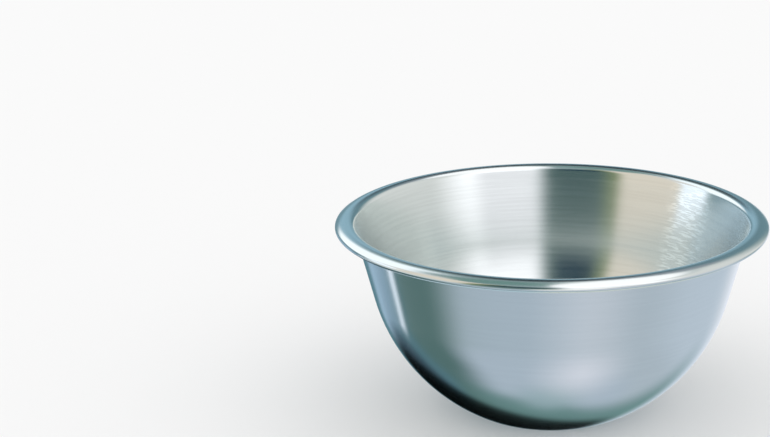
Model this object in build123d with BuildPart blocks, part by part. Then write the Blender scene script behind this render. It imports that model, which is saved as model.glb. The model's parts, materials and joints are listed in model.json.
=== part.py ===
"""Mixing bowl: one pressed sheet of stainless steel with a flat base, a dished lower body,
a straight flaring upper wall and a hollow rim rolled from the edge of the same sheet.

Millimetres and degrees. The origin is at the middle of the base's underside, +Z is up the bowl's axis.
"""
import os
from math import acos, asin, cos, degrees, radians, sin, tan

from build123d import *

# Overall sizes
rim_diameter = 300.0        # across the outside of the rolled rim
height = 138.0              # from the table to the top of the rim
base_diameter = 104.0       # the flat that the bowl stands on, inside its rounded edge
sheet = 1.0                 # thickness of the steel

# Body, measured on the face that holds the food
base_edge_radius = 14.0     # between the flat base and the dish
wall_lean = 14.7            # of the upper wall, away from upright
wall_depth = 51.0           # height of the straight upper wall, under the throat

# Rolled rim, measured on its outer skin
rim_height = 8.3            # from the underside of the roll to its top
crown_radius = 10.5         # the gently domed top, and the underside
lip_radius = 2.2            # the outermost edge
throat_radius = 4.5         # the bend from the wall into the rim
throat_fall = 20.0          # slope at which the crown meets the throat's bend
curl_gap = 0.8              # between the wall and the sheet's curled edge

# The roll is an oval: the crown falls outward to the lip, which turns round to the underside.
lip_slope = degrees(acos((crown_radius - rim_height / 2) / (crown_radius - lip_radius)))
crown_x = rim_diameter / 2 - lip_radius - (crown_radius - lip_radius) * sin(radians(lip_slope))

# The top of the wall, where the throat's bend ends
lean = radians(wall_lean)
fall = radians(throat_fall)
wall_top_x = crown_x - crown_radius * sin(fall) - throat_radius * (cos(lean) - sin(fall))
wall_top_z = height - crown_radius * (1 - cos(fall)) - throat_radius * (cos(fall) - sin(lean))

# The curl stops this far past its lowest point, just short of the wall's outer face.
wall_x_under_rim = wall_top_x + sheet / cos(lean) - (wall_top_z - height + rim_height) * tan(lean)
curl_turn = degrees(asin((crown_x - wall_x_under_rim - curl_gap) / crown_radius))

# The dish is the one arc that leaves the wall in line with it and runs smoothly into the base's edge.
base_radius = base_diameter / 2
shoulder_x = wall_top_x - wall_depth * tan(lean)
shoulder_z = wall_top_z - wall_depth
edge_center = Vector(base_radius, sheet + base_edge_radius)
run = shoulder_x - edge_center.X
rise = shoulder_z - edge_center.Y
dish_radius = (run**2 + rise**2 - base_edge_radius**2) / (
    2 * (run * cos(lean) - rise * sin(lean) - base_edge_radius)
)
dish_center = Vector(shoulder_x - dish_radius * cos(lean), shoulder_z + dish_radius * sin(lean))
dish_foot = dish_center + (edge_center - dish_center).normalized() * dish_radius

os.makedirs("parts", exist_ok=True)

with BuildPart() as bowl:
    with BuildSketch(Plane.XZ):
        # the rim: from the crown outward, round the lip and under, and from the crown in to the wall
        with BuildLine():
            crown_out = JernArc((crown_x, height), (1, 0), crown_radius, -lip_slope)
            lip = JernArc(crown_out @ 1, crown_out % 1, lip_radius, 2 * lip_slope - 180)
            JernArc(lip @ 1, lip % 1, crown_radius, -lip_slope - curl_turn)
            crown_in = JernArc((crown_x, height), (-1, 0), crown_radius, throat_fall)
            throat = JernArc(crown_in @ 1, crown_in % 1, throat_radius, 90 - wall_lean - throat_fall)
            offset(amount=sheet, side=Side.RIGHT)
        make_face()
        # the body: down the wall and across the floor
        with BuildLine():
            wall = Line(throat @ 1, (shoulder_x, shoulder_z))
            dish = TangentArc(wall @ 1, dish_foot, tangent=wall % 1)
            base_edge = TangentArc(dish @ 1, (base_radius, sheet), tangent=dish % 1)
            Line(base_edge @ 1, (0, sheet))
            offset(amount=sheet, side=Side.LEFT)
        make_face()
    revolve(axis=Axis.Z)

bowl.part.label = "bowl"
export_step(bowl.part, "parts/bowl.step")
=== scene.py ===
import json
from math import acos, asin, atan2, ceil, copysign, cos, pi, radians, sin, tan

import bmesh
import bpy
from bpy.props import FloatProperty, FloatVectorProperty, IntProperty, PointerProperty
from mathutils import Matrix, Vector

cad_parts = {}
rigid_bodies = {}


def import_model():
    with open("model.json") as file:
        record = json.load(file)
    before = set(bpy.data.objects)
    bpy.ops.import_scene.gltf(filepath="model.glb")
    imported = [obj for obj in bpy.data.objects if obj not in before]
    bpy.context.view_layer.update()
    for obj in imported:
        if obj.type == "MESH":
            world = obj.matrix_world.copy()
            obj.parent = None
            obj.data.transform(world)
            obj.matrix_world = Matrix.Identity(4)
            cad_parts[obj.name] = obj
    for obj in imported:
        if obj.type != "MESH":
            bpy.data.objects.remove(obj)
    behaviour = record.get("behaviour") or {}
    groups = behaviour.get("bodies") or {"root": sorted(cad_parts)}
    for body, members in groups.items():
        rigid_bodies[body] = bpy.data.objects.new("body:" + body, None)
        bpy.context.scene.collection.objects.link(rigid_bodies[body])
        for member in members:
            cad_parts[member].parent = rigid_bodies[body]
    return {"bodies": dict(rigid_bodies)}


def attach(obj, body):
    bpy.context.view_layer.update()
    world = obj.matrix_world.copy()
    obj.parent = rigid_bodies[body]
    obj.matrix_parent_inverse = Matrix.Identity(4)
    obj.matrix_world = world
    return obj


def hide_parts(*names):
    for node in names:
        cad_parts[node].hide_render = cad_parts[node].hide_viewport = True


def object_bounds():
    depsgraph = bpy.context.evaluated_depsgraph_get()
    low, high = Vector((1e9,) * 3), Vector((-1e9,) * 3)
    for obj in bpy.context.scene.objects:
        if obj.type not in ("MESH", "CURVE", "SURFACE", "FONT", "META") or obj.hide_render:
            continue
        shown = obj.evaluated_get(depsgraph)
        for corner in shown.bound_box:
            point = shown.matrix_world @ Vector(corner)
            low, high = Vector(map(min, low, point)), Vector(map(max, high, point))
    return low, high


bl_info = {
    "name": "Spun Steel Mixing Bowl",
    "version": (1, 0, 0),
    "blender": (4, 5, 0),
    "location": "3D View > Sidebar > Mixing Bowl",
    "description": "Builds a stainless mixing bowl with a rolled rim, on a plain studio floor",
    "category": "Mesh",
}

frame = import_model()
CAD_LOW, CAD_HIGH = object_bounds()
BODY = next(iter(frame["bodies"]))
NODE = "bowl"
MAP = "round_and_along"
FULL_TURN = 2 * pi
MERGE_DISTANCE = 1e-6


# ---------------------------------------------------------------- sizes and colours


class BowlSizes(bpy.types.PropertyGroup):
    """The bowl's sizes, on the face that holds the food and on the rim's outer skin."""

    rim_diameter: FloatProperty(
        name="Rim diameter", description="Across the outside of the rolled rim",
        default=CAD_HIGH.x - CAD_LOW.x, min=0.05, unit="LENGTH",
    )
    height: FloatProperty(
        name="Height", description="From the table to the top of the rim",
        default=CAD_HIGH.z - CAD_LOW.z, min=0.03, unit="LENGTH",
    )
    base_diameter: FloatProperty(
        name="Base diameter", description="The flat that the bowl stands on",
        default=0.104, min=0.02, unit="LENGTH",
    )
    sheet: FloatProperty(
        name="Sheet", description="Thickness of the steel", default=0.001, min=0.0003, unit="LENGTH",
    )
    base_edge_radius: FloatProperty(
        name="Base edge", description="Radius between the flat base and the dish",
        default=0.014, min=0.002, unit="LENGTH",
    )
    wall_lean: FloatProperty(
        name="Wall lean", description="Of the upper wall, away from upright",
        default=radians(14.7), min=0, subtype="ANGLE", unit="ROTATION",
    )
    wall_depth: FloatProperty(
        name="Wall depth", description="Height of the straight upper wall",
        default=0.051, min=0.005, unit="LENGTH",
    )
    rim_height: FloatProperty(
        name="Rim height", description="From the underside of the roll to its top",
        default=0.0083, min=0.002, unit="LENGTH",
    )
    crown_radius: FloatProperty(
        name="Crown", description="Radius of the rim's domed top and of its underside",
        default=0.0105, min=0.003, unit="LENGTH",
    )
    lip_radius: FloatProperty(
        name="Lip", description="Radius of the rim's outermost edge",
        default=0.0022, min=0.001, unit="LENGTH",
    )
    throat_radius: FloatProperty(
        name="Throat", description="Radius of the bend from the wall into the rim",
        default=0.0045, min=0.001, unit="LENGTH",
    )
    throat_fall: FloatProperty(
        name="Throat fall", description="Slope at which the crown meets the throat",
        default=radians(20), min=0, subtype="ANGLE", unit="ROTATION",
    )
    curl_gap: FloatProperty(
        name="Curl gap", description="Between the wall and the sheet's curled edge",
        default=0.0008, min=0, unit="LENGTH",
    )
    facets_round: IntProperty(
        name="Facets round", description="Faces round the bowl", default=256, min=48, max=512,
    )
    facet_angle: FloatProperty(
        name="Facet angle", description="Most that one face of a bend turns",
        default=radians(9), min=radians(1), subtype="ANGLE", unit="ROTATION",
    )
    facet_length: FloatProperty(
        name="Facet length", description="Longest face down the section",
        default=0.005, min=0.001, unit="LENGTH",
    )


class SteelFinish(bpy.types.PropertyGroup):
    """Colour and polish of the steel."""

    tone: FloatVectorProperty(
        name="Tone", description="Colour of the clean steel", subtype="COLOR", size=3, min=0, max=1,
        default=(0.66, 0.685, 0.69),
    )
    roughness: FloatProperty(
        name="Roughness", description="Of the brushed face inside",
        default=0.2, min=0, max=1, subtype="FACTOR",
    )
    outer_roughness: FloatProperty(
        name="Outer roughness", description="Of the face outside",
        default=0.145, min=0, max=1, subtype="FACTOR",
    )
    roughness_spread: FloatProperty(
        name="Roughness spread", description="Between the smoothest and the roughest brushing lines",
        default=0.06, min=0, max=0.3, subtype="FACTOR",
    )
    rim_roughness: FloatProperty(
        name="Rim roughness", description="Of the rolled rim",
        default=0.16, min=0, max=1, subtype="FACTOR",
    )
    stretch: FloatProperty(
        name="Stretch", description="How far a reflection is drawn out across the brushing",
        default=0.75, min=0, max=1, subtype="FACTOR",
    )
    streaks: FloatProperty(
        name="Streaks", description="How much darker the dullest brushing lines are",
        default=0.05, min=0, max=1, subtype="FACTOR",
    )
    brushing_depth: FloatProperty(
        name="Brushing depth", description="Height of the brushing lines",
        default=2.5e-6, min=1e-7, precision=7, unit="LENGTH",
    )
    # The scratched sector also carries a painted highlight: a lighter tone for the bright streaks reflected
    # on the wall there.
    scuff_and_sheen_place: FloatProperty(
        name="Scuff place", description="Where the wall is scratched, from the far side towards the right",
        default=radians(51), subtype="ANGLE", unit="ROTATION",
    )
    scuff_and_sheen_reach: FloatProperty(
        name="Scuff reach", description="Angle from the middle of the scratches to their end",
        default=radians(11), min=0, subtype="ANGLE", unit="ROTATION",
    )
    scuff_depth: FloatProperty(
        name="Scuff depth", description="Height of the scratches",
        default=3e-5, min=0, precision=6, unit="LENGTH",
    )
    # Painted highlight: the scratches' lighter tone stands in for the bright streaks reflected on the wall
    # there.
    scuff_and_sheen_tone: FloatVectorProperty(
        name="Scuff tone", description="Colour of the scratches", subtype="COLOR", size=3, min=0, max=1,
        default=(0.8, 0.83, 0.84),
    )
    # Painted reflection: a glow that stands in for what the steel would mirror past its fourth mirroring.
    depth_glow: FloatVectorProperty(
        name="Depth glow", description="What steel gives back after mirroring itself four times",
        subtype="COLOR", size=3, min=0, max=1, default=(0.36, 0.42, 0.43),
    )


class StudioSettings(bpy.types.PropertyGroup):
    """Where the bowl is seen from, and what it stands on."""

    camera_distance: FloatProperty(
        name="Camera distance", description="From the middle of the bowl",
        default=1.35, min=0.3, unit="LENGTH",
    )
    camera_elevation: FloatProperty(
        name="Camera elevation", description="Above the horizon",
        default=radians(19.03), subtype="ANGLE", unit="ROTATION",
    )
    camera_lens: FloatProperty(
        name="Lens", description="Focal length", default=88.96, min=10, unit="CAMERA",
    )
    aim_left: FloatProperty(
        name="Aim left", description="How far left of the bowl the camera points",
        default=0.1173, unit="LENGTH",
    )
    aim_up: FloatProperty(
        name="Aim up", description="How far above the middle of the bowl the camera points",
        default=0.0623, unit="LENGTH",
    )
    camera_roll: FloatProperty(
        name="Camera roll", description="Turn about the line of sight",
        default=radians(-1.155), subtype="ANGLE", unit="ROTATION",
    )
    floor_size: FloatProperty(
        name="Floor size", description="Side of the square floor", default=60, min=1, unit="LENGTH",
    )
    floor_colour: FloatVectorProperty(
        name="Floor colour", description="A plain pale floor", subtype="COLOR", size=3, min=0, max=1,
        default=(0.87, 0.87, 0.87),
    )
    backdrop_colour: FloatVectorProperty(
        name="Backdrop colour", description="Behind the floor", subtype="COLOR", size=3, min=0, max=1,
        default=(0.96, 0.96, 0.96),
    )
    light: FloatProperty(
        name="Light", description="Strength of the soft light from all round", default=1.1, min=0,
    )


# ---------------------------------------------------------------- the bowl's section


def bowl_arcs(sizes):
    """The arcs of the section's skin, from the floor out to the curled edge: (centre, radius, start, turn).

    Angles are in the XZ plane, from +X towards +Z. A positive turn runs anticlockwise.
    The sheet lies on the far side of the skin: outside the body's bends and inside the rim's roll.
    """
    lean, fall = sizes.wall_lean, sizes.throat_fall
    crown, lip, throat = sizes.crown_radius, sizes.lip_radius, sizes.throat_radius
    rim_x = sizes.rim_diameter / 2
    top = sizes.height

    lip_slope = acos((crown - sizes.rim_height / 2) / (crown - lip))
    crown_x = rim_x - lip - (crown - lip) * sin(lip_slope)
    wall_top = Vector((
        crown_x - crown * sin(fall) - throat * (cos(lean) - sin(fall)),
        top - crown * (1 - cos(fall)) - throat * (cos(fall) - sin(lean)),
    ))
    drop = wall_top.y - (top - sizes.rim_height)
    wall_x_under_rim = wall_top.x + sizes.sheet / cos(lean) - drop * tan(lean)
    curl_turn = asin((crown_x - wall_x_under_rim - sizes.curl_gap) / crown)

    shoulder = wall_top - Vector((tan(lean), 1)) * sizes.wall_depth
    edge_centre = Vector((sizes.base_diameter / 2, sizes.sheet + sizes.base_edge_radius))
    run, rise = shoulder - edge_centre
    dish = (run**2 + rise**2 - sizes.base_edge_radius**2) / (
        2 * (run * cos(lean) - rise * sin(lean) - sizes.base_edge_radius)
    )
    dish_centre = shoulder - Vector((cos(lean), -sin(lean))) * dish
    foot = edge_centre - dish_centre
    foot_angle = asin(foot.y / foot.length)

    crown_centre = Vector((crown_x, top - crown))
    under_centre = Vector((crown_x, top - sizes.rim_height + crown))
    lip_centre = Vector((rim_x - lip, top - sizes.rim_height / 2))
    throat_centre = wall_top + Vector((cos(lean), -sin(lean))) * throat
    up = pi / 2
    return (
        (edge_centre, sizes.base_edge_radius, -up, foot_angle + up),
        (dish_centre, dish, foot_angle, -lean - foot_angle),
        (throat_centre, throat, pi - lean, fall + lean - up),
        (crown_centre, crown, up + fall, -fall - lip_slope),
        (lip_centre, lip, up - lip_slope, 2 * lip_slope - pi),
        (under_centre, crown, lip_slope - up, -lip_slope - curl_turn),
    )


def join_point(bm, last, x, z):
    """Adds a vertex, joined to the chain's last one."""
    point = bm.verts.new((x, 0, z))
    if last:
        bm.edges.new((last, point))
    return point


def join_arc(bm, last, centre, radius, start, turn, sizes):
    """Adds an arc, joined to the chain's last vertex, and returns the arc's own last vertex."""
    first = join_point(bm, last, centre.x + radius * cos(start), centre.y + radius * sin(start))
    steps = ceil(max(abs(turn) / sizes.facet_angle, abs(turn) * radius / sizes.facet_length))
    swept = bmesh.ops.spin(
        bm, geom=[first], cent=(centre.x, 0, centre.y), axis=(0, -1, 0), dvec=(0, 0, 0),
        angle=turn, steps=steps, use_merge=False, use_normal_flip=False, use_duplicate=False,
    )
    return next(item for item in swept["geom_last"] if isinstance(item, bmesh.types.BMVert))


def add_section(bm, sizes):
    """The outline of half the sheet: along the skin to the curled edge, and back along the other face."""
    arcs = bowl_arcs(sizes)
    first = last = join_point(bm, None, 0, sizes.sheet)
    for centre, radius, start, turn in arcs:
        last = join_arc(bm, last, centre, radius, start, turn, sizes)
    for centre, radius, start, turn in reversed(arcs):
        back_radius = radius + copysign(sizes.sheet, turn)
        last = join_arc(bm, last, centre, back_radius, start + turn, -turn, sizes)
    join_point(bm, last, 0, 0)
    return first


def measure_chain(along, first):
    """Writes at each vertex of the chain its distance along it."""
    point, ahead = first, first.link_edges[:]
    while ahead:
        edge = ahead[0]
        start, point = point, edge.other_vert(point)
        point[along] = start[along] + edge.calc_length()
        ahead = [other for other in point.link_edges if other is not edge]


def map_round(bm, along):
    """Maps every face: U is the place round the bowl, in turns, and V the distance along the section.

    V is 0 on the rim's crown, negative inside the bowl and positive outside.
    """
    layer = bm.loops.layers.uv.new(MAP)
    for face in bm.faces:
        middle = face.calc_center_median()
        turn = atan2(middle.y, middle.x)
        outward = middle.xy.normalized()
        for loop in face.loops:
            place = loop.vert.co.xy
            off_axis = place.length > MERGE_DISTANCE
            past = asin(outward.cross(place.normalized())) if off_axis else 0
            loop[layer].uv = ((turn + past) / FULL_TURN, loop.vert[along])


def make_bowl(context):
    sizes = context.scene.bowl_sizes
    bm = bmesh.new()
    along = bm.verts.layers.float.new("along")
    measure_chain(along, add_section(bm, sizes))
    crown_along = max(bm.verts, key=lambda vert: vert.co.z)[along]
    for vert in bm.verts:
        vert[along] -= crown_along
    bmesh.ops.spin(
        bm, geom=bm.verts[:] + bm.edges[:], cent=(0, 0, 0), axis=(0, 0, 1), dvec=(0, 0, 0),
        angle=FULL_TURN, steps=sizes.facets_round,
        use_merge=True, use_normal_flip=False, use_duplicate=False,
    )
    bmesh.ops.remove_doubles(bm, verts=bm.verts, dist=MERGE_DISTANCE)
    bmesh.ops.recalc_face_normals(bm, faces=bm.faces)
    map_round(bm, along)
    mesh = bpy.data.meshes.new("steel_bowl")
    bm.to_mesh(mesh)
    bm.free()
    mesh.shade_smooth()
    piece = bpy.data.objects.new("steel_bowl", mesh)
    context.scene.collection.objects.link(piece)
    return piece


# ---------------------------------------------------------------- shader helpers


class Wiring:
    """Adds nodes to a tree and links them, from left to right."""

    def __init__(self, tree):
        self.tree = tree

    def node(self, kind, settings=None, **inputs):
        made = self.tree.nodes.new(kind)
        for name, value in (settings or {}).items():
            setattr(made, name, value)
        for name, value in inputs.items():
            self.feed(self.socket(made, name), value)
        return made

    @staticmethod
    def socket(node, name):
        """An input by its number, as in_0, or by its name with _ for each space."""
        if name.startswith("in_"):
            return node.inputs[int(name[3:])]
        return node.inputs[name.replace("_", " ")]

    def feed(self, socket, value):
        if isinstance(value, bpy.types.NodeSocket):
            self.tree.links.new(value, socket)
        else:
            socket.default_value = value

    def math(self, operation, *values):
        made = self.node("ShaderNodeMath", {"operation": operation})
        for socket, value in zip(made.inputs, values):
            self.feed(socket, value)
        return made.outputs[0]

    def vector(self, operation, first, second=None):
        """The node of a sum on one or two vectors."""
        made = self.node("ShaderNodeVectorMath", {"operation": operation}, in_0=first)
        if second is not None:
            self.feed(made.inputs[1], second)
        return made

    def away_from_axis(self, place):
        """The level direction from the bowl's axis to a place."""
        level = self.vector("MULTIPLY", place, (1, 1, 0))
        return self.vector("NORMALIZE", level.outputs[0]).outputs[0]

    def smooth(self, value, low, high, to_low=0.0, to_high=1.0):
        """Runs smoothly from to_low, where value is low, to to_high, where it is high."""
        made = self.node("ShaderNodeMapRange", {"interpolation_type": "SMOOTHSTEP"})
        for socket, number in zip(made.inputs, (value, low, high, to_low, to_high)):
            self.feed(socket, number)
        return made.outputs[0]

    def mix(self, factor, under, over):
        made = self.node("ShaderNodeMix", {"data_type": "RGBA"})
        self.feed(made.inputs["Factor"], factor)
        self.feed(made.inputs[6], under)
        self.feed(made.inputs[7], over)
        return made.outputs[2]


def new_group(name, inputs, outputs):
    """A shader node group with the named sockets. Returns the group, its wiring and its inputs."""
    group = bpy.data.node_groups.new(name, "ShaderNodeTree")
    for way, sockets in (("INPUT", inputs), ("OUTPUT", outputs)):
        for label, kind in sockets:
            group.interface.new_socket(label, in_out=way, socket_type=f"NodeSocket{kind}")
    wires = Wiring(group)
    entry = wires.node("NodeGroupInput")
    return group, wires, entry.outputs


# ---------------------------------------------------------------- steel

# Brushing noise: (scale round the axis, scale along the section, detail).
FINE_LINES = (4, 1300, 1)
POLISH_LINES = (1.6, 520, 3)
SCUFF_AND_SHEEN_LINES = (14, 800, 1)
# Values of the noise between which a line turns dull, and between which a scratch shows with its painted
# highlight.
DULL_BETWEEN = (0.62, 0.36)
SCRATCH_AND_SHEEN_BETWEEN = (0.48, 0.6)
# Along the section, where the inner face passes into the rim.
INNER_FACE_ENDS = (-0.014, -0.004)
# Below the rim's top, in rim heights, where the rim's own polish sets in.
RIM_POLISH_STARTS = (1.2, 0.9)
# Heights between which the whisk's scratches, and the painted highlight of the bright streaks on them, set
# in.
SCUFF_AND_SHEEN_START = (0.04, 0.065)
# How much of the inner face's dull streaks and line depth the outer face has.
OUTER_DULLING = 0.3
OUTER_BRUSHING = 0.15
# Glossy depths that only rays mirrored twice, or four times, are past.
MIRRORED_TWICE = 1.5
MIRRORED_FOUR_TIMES = 3.5


def brushing_group():
    """Noise drawn out into lines round the bowl, seamless all the way round."""
    group, wires, given = new_group(
        "round_brushing",
        [("Place", "Vector"), ("Along", "Float"), ("Scale Round", "Float"),
         ("Scale Along", "Float"), ("Detail", "Float")],
        [("Lines", "Float")],
    )
    around = wires.vector("SCALE", wires.away_from_axis(given["Place"]))
    wires.feed(around.inputs["Scale"], given["Scale Round"])
    steps_along = wires.math("MULTIPLY", given["Along"], given["Scale Along"])
    offset = wires.node("ShaderNodeCombineXYZ", Z=steps_along)
    where = wires.vector("ADD", around.outputs[0], offset.outputs[0])
    noise = wires.node("ShaderNodeTexNoise", Vector=where.outputs[0], Scale=1, Roughness=0.6)
    wires.feed(noise.inputs["Detail"], given["Detail"])
    wires.node("NodeGroupOutput", Lines=noise.outputs[0])
    return group


def scuff_and_sheen_sector(wires, place, finish):
    """Mask of the part of the wall where a whisk has scratched it, and where a lighter tone paints the
    highlight of the bright streaks reflected there.
    """
    middle = Vector((sin(finish.scuff_and_sheen_place), cos(finish.scuff_and_sheen_place), 0))
    near = wires.vector("DOT_PRODUCT", wires.away_from_axis(place), middle).outputs["Value"]
    return wires.smooth(near, cos(finish.scuff_and_sheen_reach), cos(finish.scuff_and_sheen_reach / 2))


def steel_material(sizes, finish):
    material = bpy.data.materials.new("brushed_steel")
    material.use_nodes = True
    wires = Wiring(material.node_tree)
    shader = material.node_tree.nodes["Principled BSDF"].inputs
    shader["Metallic"].default_value = 1
    shader["Anisotropic"].default_value = finish.stretch
    shader["Anisotropic Rotation"].default_value = 0.25
    tangent = wires.node("ShaderNodeTangent", {"direction_type": "UV_MAP", "uv_map": MAP})
    wires.feed(shader["Tangent"], tangent.outputs[0])

    place = wires.node("ShaderNodeTexCoord").outputs["Object"]
    mapped = wires.node("ShaderNodeUVMap", {"uv_map": MAP}).outputs[0]
    along = wires.node("ShaderNodeSeparateXYZ", in_0=mapped).outputs["Y"]
    height = wires.node("ShaderNodeSeparateXYZ", in_0=place).outputs["Z"]
    group = brushing_group()

    def lines(scale_round, scale_along, detail):
        drawn = wires.node("ShaderNodeGroup", {"node_tree": group}, Place=place, Along=along)
        drawn.inputs["Scale Round"].default_value = scale_round
        drawn.inputs["Scale Along"].default_value = scale_along
        drawn.inputs["Detail"].default_value = detail
        return drawn.outputs[0]

    fine = lines(*FINE_LINES)
    polish = lines(*POLISH_LINES)
    # These lines give the scratches their relief, and also place their painted highlight.
    scuff_and_sheen_lines = lines(*SCUFF_AND_SHEEN_LINES)
    inside = wires.smooth(along, *INNER_FACE_ENDS, 1.0, 0.0)
    rim_foot, rim_full = (sizes.height - drop * sizes.rim_height for drop in RIM_POLISH_STARTS)
    rim = wires.smooth(height, rim_foot, rim_full)
    wall = wires.math("MULTIPLY", inside, wires.smooth(height, *SCUFF_AND_SHEEN_START))
    scuff_and_sheen_mask = wires.math("MULTIPLY", wall, scuff_and_sheen_sector(wires, place, finish))

    dull = tuple(channel * (1 - finish.streaks) for channel in finish.tone)
    dulling = wires.math("MULTIPLY_ADD", inside, 1 - OUTER_DULLING, OUTER_DULLING)
    dulled = wires.math("MULTIPLY", wires.smooth(polish, *DULL_BETWEEN), dulling)
    tone = wires.mix(dulled, (*finish.tone, 1), (*dull, 1))
    # Painted highlight: the scratches' lighter tone replaces the bright reflected streaks on this part of
    # the wall.
    scratched = wires.math("MULTIPLY", scuff_and_sheen_mask, wires.smooth(scuff_and_sheen_lines, *SCRATCH_AND_SHEEN_BETWEEN))
    wires.feed(shader["Base Color"], wires.mix(scratched, tone, (*finish.scuff_and_sheen_tone, 1)))

    spread = wires.math("MULTIPLY", wires.math("SUBTRACT", polish, 0.5), finish.roughness_spread)
    rougher = finish.roughness - finish.outer_roughness
    faces = wires.math("MULTIPLY_ADD", inside, rougher, finish.outer_roughness)
    brushed = wires.math("ADD", faces, wires.math("MULTIPLY", spread, inside))
    rolled = wires.math("SUBTRACT", finish.rim_roughness, brushed)
    wires.feed(shader["Roughness"], wires.math("MULTIPLY_ADD", rim, rolled, brushed))

    depth = wires.math("MULTIPLY_ADD", inside, 1 - OUTER_BRUSHING, OUTER_BRUSHING)
    face = wires.math("MULTIPLY", fine, depth)
    scratches = wires.math("MULTIPLY", scuff_and_sheen_mask, scuff_and_sheen_lines)
    dents = wires.math("MULTIPLY", scratches, finish.scuff_depth / finish.brushing_depth)
    relief = wires.math("ADD", face, dents)
    bump = wires.node("ShaderNodeBump", Height=relief, Distance=finish.brushing_depth)
    wires.feed(shader["Normal"], bump.outputs[0])

    # Painted reflection: past the fourth mirroring the steel glows in the depth_glow colour, in place of
    # what it would mirror.
    mirrored = wires.node("ShaderNodeLightPath").outputs["Glossy Depth"]
    last = wires.math("GREATER_THAN", mirrored, MIRRORED_FOUR_TIMES)
    wires.feed(shader["Emission Color"], wires.mix(last, (0, 0, 0, 1), (*finish.depth_glow, 1)))
    shader["Emission Strength"].default_value = 1
    material.cycles.emission_sampling = "NONE"
    return material


class MIXINGBOWL_OT_bowl(bpy.types.Operator):
    """Spins the bowl's sheet from its section and gives it its brushed steel"""

    bl_idname = "mixing_bowl.bowl"
    bl_label = "Bowl"

    def execute(self, context):
        piece = make_bowl(context)
        piece.data.materials.append(steel_material(context.scene.bowl_sizes, context.scene.steel_finish))
        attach(piece, BODY)
        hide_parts(NODE)
        return {"FINISHED"}


# ---------------------------------------------------------------- studio

# How far under the rim's top the bowl's middle is taken to be, in rim radii.
MIDDLE_DROP = 0.45

# What the steel mirrors, each over the ones before it:
# (left, right, soft edge, low, high, soft edge, colour), in degrees.
# An azimuth of 0 is on the camera's side of the bowl, 90 to its right. An elevation of 90 is overhead.
CARDS = {
    "room": (-180, 180, 2, -90, 90, 2, (0.34, 0.46, 0.47)),
    "white_wall_right": (4, 90, 26, -6, 96, 8, (1.6, 1.6, 1.62)),
    "grey_in_white_wall": (8, 46, 14, 8, 24, 8, (1.15, 1.15, 1.18)),
    "pale_wall_far_right": (66, 142, 30, -8, 50, 10, (0.94, 0.96, 0.93)),
    "white_overhead_right": (50, 172, 20, 52, 96, 8, (1.5, 1.5, 1.5)),
    "pale_horizon_right": (20, 112, 24, -36, -4, 10, (0.88, 0.91, 0.92)),
    "white_horizon_in_front": (-9, 32, 14, -40, -2, 8, (1.3, 1.3, 1.26)),
    "teal_behind_right": (152, 186, 16, 0, 40, 8, (0.18, 0.31, 0.36)),
    "grey_behind_right": (146, 186, 10, 38, 50, 6, (0.34, 0.38, 0.43)),
    "blue_behind_left": (-184, -154, 14, 0, 28, 8, (0.36, 0.58, 0.7)),
    "window_behind_left": (-157, -108, 10, 12, 54, 10, (1.4, 1.5, 1.55)),
    "teal_overhead_left": (-176, -80, 30, 62, 96, 8, (0.2, 0.36, 0.33)),
    "dark_behind": (173, 191, 14, 22, 52, 10, (0.04, 0.06, 0.07)),
    "teal_far_left": (-180, -112, 14, -12, 10, 8, (0.2, 0.34, 0.4)),
    "cream_panel_far_left": (-112, -80, 10, 26, 62, 10, (0.95, 0.92, 0.86)),
    "cold_strip_left": (-107, -84, 8, -3, 28, 6, (1.35, 1.47, 1.57)),
    "cream_panel_left": (-86, -39, 8, -5, 58, 10, (1.02, 0.93, 0.79)),
    "olive_edge": (-44, -28, 10, -12, 58, 12, (0.28, 0.35, 0.18)),
    "dark_gap": (-36, 5, 16, -14, 50, 12, (0.12, 0.195, 0.185)),
    "navy_top": (-33, -4, 14, 23, 40, 10, (0.0, 0.03, 0.07)),
    "table": (-180, 180, 2, -95, -44, 12, (0.57, 0.67, 0.78)),
    "table_side_right": (30, 200, 30, -62, -32, 12, (0.575, 0.665, 0.75)),
    "table_right": (84, 182, 50, -44, -22, 14, (0.66, 0.76, 0.87)),
    "pale_far_right": (142, 190, 20, -27, -4, 12, (0.88, 0.93, 1.02)),
    "teal_under": (-217, -104, 36, -86, -36, 16, (0.17, 0.32, 0.31)),
    "teal_left": (-134, -79, 34, -63, -28, 22, (0.115, 0.215, 0.21)),
    "pale_horizon_left": (-110, -46, 12, -30, -3, 8, (0.86, 0.9, 0.9)),
    "slate_far_left": (-180, -118, 14, -56, -10, 10, (0.12, 0.25, 0.3)),
    "pale_blue_far_left": (-153.5, -126, 8, -31, -6, 8, (0.42, 0.6, 0.76)),
    "sheen_left": (-125, -119.5, 3, -34, -20, 4, (1.5, 1.62, 1.8)),
}
# What a ray meets after mirroring twice inside the bowl: one colour low at the left, one elsewhere,
# and the angles between which the first passes into the second.
TWICE_MIRRORED_LOW_LEFT = (0.8, 1.02, 1.15)
TWICE_MIRRORED_ELSEWHERE = (1.1, 1.16, 1.1)
LOW_LEFT_ENDS_AT_AZIMUTH = (-26.0, -12.0)
LOW_LEFT_ENDS_AT_ELEVATION = (21.0, 28.0)
# Soft round patches over the cards: (azimuth, elevation, radius, soft edge, colour).
PATCHES = {
    "dim_straight_down": (0, -90, 10, 16, (0.42, 0.57, 0.62)),
    "lamp_on_table": (36, -65, 12, 34, (0.98, 1.0, 1.1)),
    "navy_by_the_shadow": (-146, -42, 12, 10, (0.05, 0.09, 0.125)),
    "bowls_own_shadow": (-165, -46.5, 19, 6, (0.0, 0.0, 0.0)),
}


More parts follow.
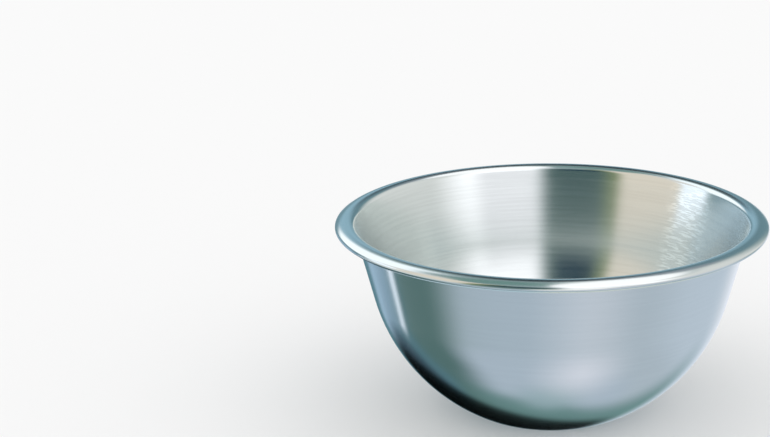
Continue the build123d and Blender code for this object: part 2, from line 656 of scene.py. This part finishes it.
def card_group():
    """Lays one soft-edged card over what is behind it."""
    group, wires, given = new_group(
        "studio_card",
        [("Behind", "Color"), ("Card", "Color"), ("Azimuth", "Float"), ("Elevation", "Float"),
         ("Middle", "Float"), ("Half Width", "Float"), ("Side Edge", "Float"),
         ("Level", "Float"), ("Half Height", "Float"), ("Top Edge", "Float")],
        [("Color", "Color")],
    )

    def inside(away, half, edge):
        half_edge = wires.math("MULTIPLY", edge, 0.5)
        inner = wires.math("SUBTRACT", half, half_edge)
        outer = wires.math("ADD", half, half_edge)
        return wires.smooth(wires.math("ABSOLUTE", away), inner, outer, 1.0, 0.0)

    aside = wires.math("WRAP", wires.math("SUBTRACT", given["Azimuth"], given["Middle"]), 180.0, -180.0)
    above = wires.math("SUBTRACT", given["Elevation"], given["Level"])
    mask = wires.math(
        "MULTIPLY",
        inside(aside, given["Half Width"], given["Side Edge"]),
        inside(above, given["Half Height"], given["Top Edge"]),
    )
    wires.node("NodeGroupOutput", Color=wires.mix(mask, given["Behind"], given["Card"]))
    return group


def toward(azimuth, elevation):
    azimuth, elevation = radians(azimuth), radians(elevation)
    return Vector((sin(azimuth) * cos(elevation), -cos(azimuth) * cos(elevation), sin(elevation)))


def mirrored_studio(wires):
    """The colour that the steel mirrors in each direction."""
    facing = wires.node("ShaderNodeTexCoord").outputs["Generated"]
    split = wires.node("ShaderNodeSeparateXYZ", in_0=facing).outputs
    azimuth = wires.math("ARCTAN2", split["X"], wires.math("MULTIPLY", split["Y"], -1.0))
    azimuth = wires.math("DEGREES", azimuth)
    elevation = wires.math("DEGREES", wires.math("ARCSINE", split["Z"]))
    group = card_group()
    colour = (0, 0, 0, 1)
    for left, right, side_edge, low, high, top_edge, tone in CARDS.values():
        card = wires.node("ShaderNodeGroup", {"node_tree": group}, Behind=colour, Card=(*tone, 1))
        wires.feed(card.inputs["Azimuth"], azimuth)
        wires.feed(card.inputs["Elevation"], elevation)
        wires.feed(card.inputs["Middle"], (left + right) / 2)
        wires.feed(card.inputs["Half Width"], (right - left) / 2)
        wires.feed(card.inputs["Side Edge"], side_edge)
        wires.feed(card.inputs["Level"], (low + high) / 2)
        wires.feed(card.inputs["Half Height"], (high - low) / 2)
        wires.feed(card.inputs["Top Edge"], top_edge)
        colour = card.outputs[0]
    for middle, level, radius, edge, tone in PATCHES.values():
        near = wires.vector("DOT_PRODUCT", facing, toward(middle, level)).outputs["Value"]
        away = wires.math("DEGREES", wires.math("ARCCOSINE", near))
        mask = wires.smooth(away, radius - edge / 2, radius + edge / 2, 1.0, 0.0)
        colour = wires.mix(mask, colour, (*tone, 1))
    to_the_right = wires.smooth(azimuth, *LOW_LEFT_ENDS_AT_AZIMUTH)
    high_up = wires.smooth(elevation, *LOW_LEFT_ENDS_AT_ELEVATION)
    elsewhere = wires.math("MAXIMUM", to_the_right, high_up)
    again = wires.mix(elsewhere, (*TWICE_MIRRORED_LOW_LEFT, 1), (*TWICE_MIRRORED_ELSEWHERE, 1))
    mirrored = wires.node("ShaderNodeLightPath").outputs["Glossy Depth"]
    twice = wires.math("GREATER_THAN", mirrored, MIRRORED_TWICE)
    return wires.mix(twice, colour, again)


def studio_world(studio):
    """Soft white light all round, a plain backdrop for the camera, and the studio's cards for the steel."""
    world = bpy.data.worlds.new("studio")
    world.use_nodes = True
    world.cycles.sampling_method = "NONE"
    wires = Wiring(world.node_tree)
    path = wires.node("ShaderNodeLightPath").outputs
    soft = (studio.light, studio.light, studio.light, 1)
    seen = wires.mix(path["Is Glossy Ray"], soft, mirrored_studio(wires))
    seen = wires.mix(path["Is Camera Ray"], seen, (*studio.backdrop_colour, 1))
    wires.feed(world.node_tree.nodes["Background"].inputs["Color"], seen)
    return world


def add_camera(scene, studio, middle):
    elevation = studio.camera_elevation
    back = Vector((0, -cos(elevation), sin(elevation)))
    up = Vector((0, sin(elevation), cos(elevation)))
    eye = middle + back * studio.camera_distance
    aim = middle - Vector((studio.aim_left, 0, 0)) + up * studio.aim_up
    level = (aim - eye).to_track_quat("-Z", "Y").to_matrix()
    turn = level @ Matrix.Rotation(studio.camera_roll, 3, "Z")
    data = bpy.data.cameras.new("camera")
    data.lens = studio.camera_lens
    data.clip_start, data.clip_end = 0.01, 200
    camera = bpy.data.objects.new("camera", data)
    camera.matrix_world = Matrix.Translation(eye) @ turn.to_4x4()
    scene.collection.objects.link(camera)
    scene.camera = camera


def add_floor(scene, studio):
    bm = bmesh.new()
    bmesh.ops.create_grid(bm, x_segments=1, y_segments=1, size=studio.floor_size / 2)
    mesh = bpy.data.meshes.new("floor")
    bm.to_mesh(mesh)
    bm.free()
    material = bpy.data.materials.new("pale_floor")
    material.use_nodes = True
    shader = material.node_tree.nodes["Principled BSDF"].inputs
    shader["Base Color"].default_value = (*studio.floor_colour, 1)
    shader["Roughness"].default_value = 1
    shader["Specular IOR Level"].default_value = 0
    mesh.materials.append(material)
    floor = bpy.data.objects.new("floor", mesh)
    floor.visible_glossy = False
    scene.collection.objects.link(floor)


class MIXINGBOWL_OT_studio(bpy.types.Operator):
    """Lays the pale floor and sets up the soft light and the camera"""

    bl_idname = "mixing_bowl.studio"
    bl_label = "Studio"

    def execute(self, context):
        scene = context.scene
        sizes, studio = scene.bowl_sizes, scene.studio_settings
        middle = Vector((0, 0, sizes.height - MIDDLE_DROP * sizes.rim_diameter / 2))
        add_camera(scene, studio, middle)
        add_floor(scene, studio)
        scene.world = studio_world(studio)
        scene.view_settings.view_transform = "Standard"
        return {"FINISHED"}


class MIXINGBOWL_PT_panel(bpy.types.Panel):
    """Sidebar panel that lists the bowl's pieces and their settings"""

    bl_label = "Mixing Bowl"
    bl_idname = "MIXINGBOWL_PT_panel"
    bl_space_type = "VIEW_3D"
    bl_region_type = "UI"
    bl_category = "Mixing Bowl"

    def draw(self, context):
        layout = self.layout
        scene = context.scene
        for operator, groups in (
            (MIXINGBOWL_OT_bowl, (scene.bowl_sizes, scene.steel_finish)),
            (MIXINGBOWL_OT_studio, (scene.studio_settings,)),
        ):
            box = layout.box()
            box.operator(operator.bl_idname)
            for settings in groups:
                for name in settings.__annotations__:
                    box.prop(settings, name)


CLASSES = (
    BowlSizes,
    SteelFinish,
    StudioSettings,
    MIXINGBOWL_OT_bowl,
    MIXINGBOWL_OT_studio,
    MIXINGBOWL_PT_panel,
)


def register():
    for cls in CLASSES:
        bpy.utils.register_class(cls)
    bpy.types.Scene.bowl_sizes = PointerProperty(type=BowlSizes)
    bpy.types.Scene.steel_finish = PointerProperty(type=SteelFinish)
    bpy.types.Scene.studio_settings = PointerProperty(type=StudioSettings)


def unregister():
    for name in ("studio_settings", "steel_finish", "bowl_sizes"):
        delattr(bpy.types.Scene, name)
    for cls in reversed(CLASSES):
        bpy.utils.unregister_class(cls)


def main():
    register()
    bpy.ops.mixing_bowl.bowl()
    bpy.ops.mixing_bowl.studio()


if __name__ == "__main__":
    main()
